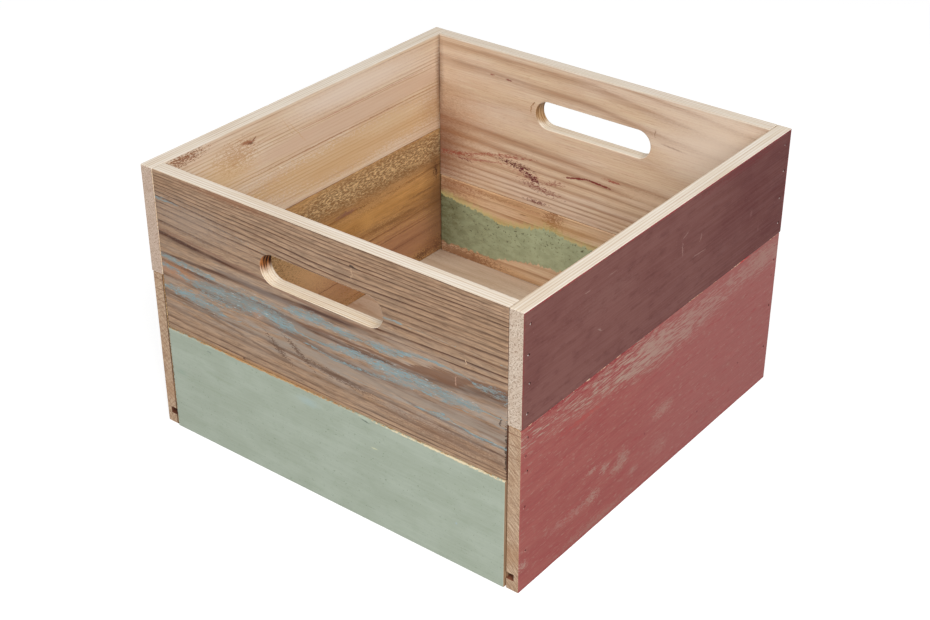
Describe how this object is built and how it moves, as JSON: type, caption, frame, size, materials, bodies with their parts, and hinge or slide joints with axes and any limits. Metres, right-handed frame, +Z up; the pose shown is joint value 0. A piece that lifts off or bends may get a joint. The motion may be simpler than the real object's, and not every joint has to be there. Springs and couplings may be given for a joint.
{
  "type": "kindling box",
  "caption": "Open-topped wooden box for kindling: square, walls of two edge-glued reclaimed boards, stadium hand slots front and back, and a plywood floor held in grooves.",
  "frame": {"origin": "on the ground under the middle of the box", "axes": "+Z up; -Y is the front, a wall with a hand slot; +X is the right-hand wall"},
  "size_m": [0.38, 0.3816, 0.248],
  "materials": {
    "weathered_pine": "weathered, unpainted, with worn grey-blue paint",
    "mint_paint": "old mint-green paint, matt",
    "burgundy_paint": "old burgundy-brown paint, satin",
    "red_paint": "old red paint, rubbed through in patches",
    "bare_pine": "planed bare softwood",
    "ochre_pine": "bare softwood, ochre and rough in places",
    "plywood": "thin plywood, bare",
    "brad_steel": "bright steel wire"
  },
  "bodies": {
    "root": {"front_upper_board": "weathered_pine", "front_lower_board": "mint_paint", "right_upper_board": "burgundy_paint", "right_lower_board": "red_paint", "left_upper_board": "bare_pine", "left_lower_board": "ochre_pine", "back_upper_board": "bare_pine", "back_lower_board": "ochre_pine", "floor_panel": "plywood", "brad_front_right_1": "brad_steel", "brad_front_right_2": "brad_steel", "brad_front_right_3": "brad_steel", "brad_front_right_4": "brad_steel", "brad_front_right_5": "brad_steel", "brad_front_right_6": "brad_steel", "brad_front_right_7": "brad_steel", "brad_front_right_8": "brad_steel", "brad_front_right_9": "brad_steel", "brad_back_right_1": "brad_steel", "brad_back_right_2": "brad_steel", "brad_back_right_3": "brad_steel", "brad_back_right_4": "brad_steel", "brad_back_right_5": "brad_steel", "brad_back_right_6": "brad_steel", "brad_back_right_7": "brad_steel", "brad_back_right_8": "brad_steel", "brad_back_right_9": "brad_steel", "brad_back_left_1": "brad_steel", "brad_back_left_2": "brad_steel", "brad_back_left_3": "brad_steel", "brad_back_left_4": "brad_steel", "brad_back_left_5": "brad_steel", "brad_back_left_6": "brad_steel", "brad_back_left_7": "brad_steel", "brad_back_left_8": "brad_steel", "brad_back_left_9": "brad_steel", "brad_front_left_1": "brad_steel", "brad_front_left_2": "brad_steel", "brad_front_left_3": "brad_steel", "brad_front_left_4": "brad_steel", "brad_front_left_5": "brad_steel", "brad_front_left_6": "brad_steel", "brad_front_left_7": "brad_steel", "brad_front_left_8": "brad_steel", "brad_front_left_9": "brad_steel"}
  },
  "joints": []
}
